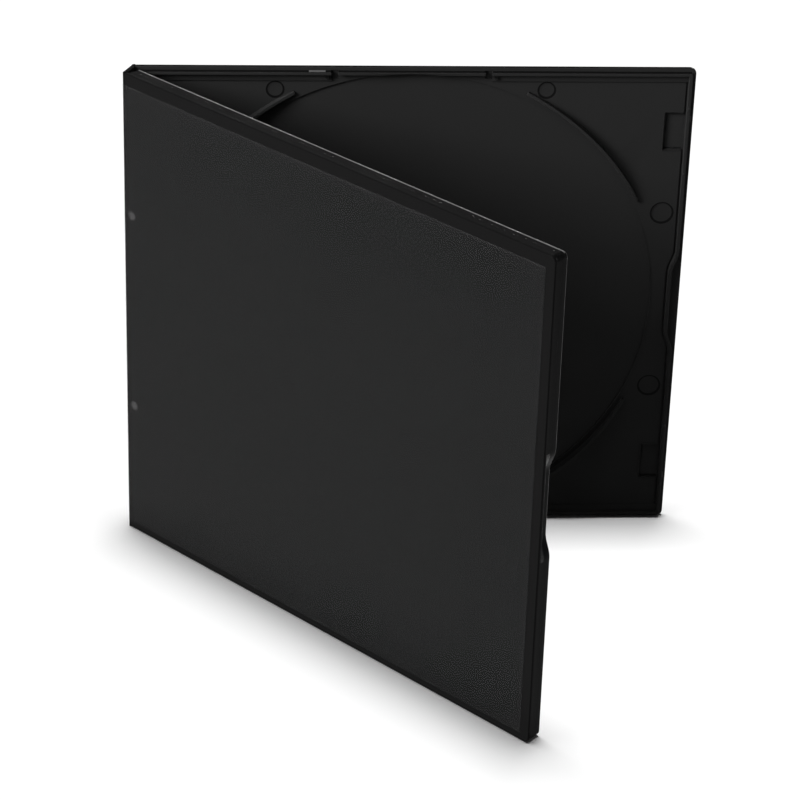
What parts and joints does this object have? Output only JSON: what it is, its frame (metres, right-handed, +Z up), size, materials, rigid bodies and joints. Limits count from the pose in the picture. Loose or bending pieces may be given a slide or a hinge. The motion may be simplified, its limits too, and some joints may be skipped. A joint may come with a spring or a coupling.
{
  "type": "vcd case",
  "caption": "Slim black plastic disc case, standing half open like a book: tray with rosette hub, spine and cover on living hinges, thumb notch and clear outer film sleeve.",
  "frame": {"origin": "middle of the tray's bottom edge, halfway through its panel, where the case stands on the table", "axes": "+Z up the case's height, +X along the tray from the hinge side to the opening side, -Y from the tray's inner face towards the open cover"},
  "size_m": [0.1368, 0.1021, 0.125],
  "materials": {
    "black_polypropylene": "satin black moulded polypropylene",
    "clear_film": "clear film with soft wrinkles"
  },
  "bodies": {
    "tray": {"tray": "black_polypropylene", "film_back": "clear_film"},
    "spine": {"spine": "black_polypropylene", "film_spine": "clear_film"},
    "cover": {"cover": "black_polypropylene", "film_front": "clear_film"}
  },
  "joints": [
    {"name": "spine_hinge", "type": "hinge", "parent": "tray", "child": "spine", "pos_m": [-0.06725, 0.0005, 0.0625], "axis": [0, 0, -1], "range_deg": [-25.5, 64.5]},
    {"name": "cover_hinge", "type": "hinge", "parent": "spine", "child": "cover", "pos_m": [-0.06957, -0.00437, 0.0625], "axis": [0, 0, -1], "range_deg": [-20.7, 69.3]}
  ]
}
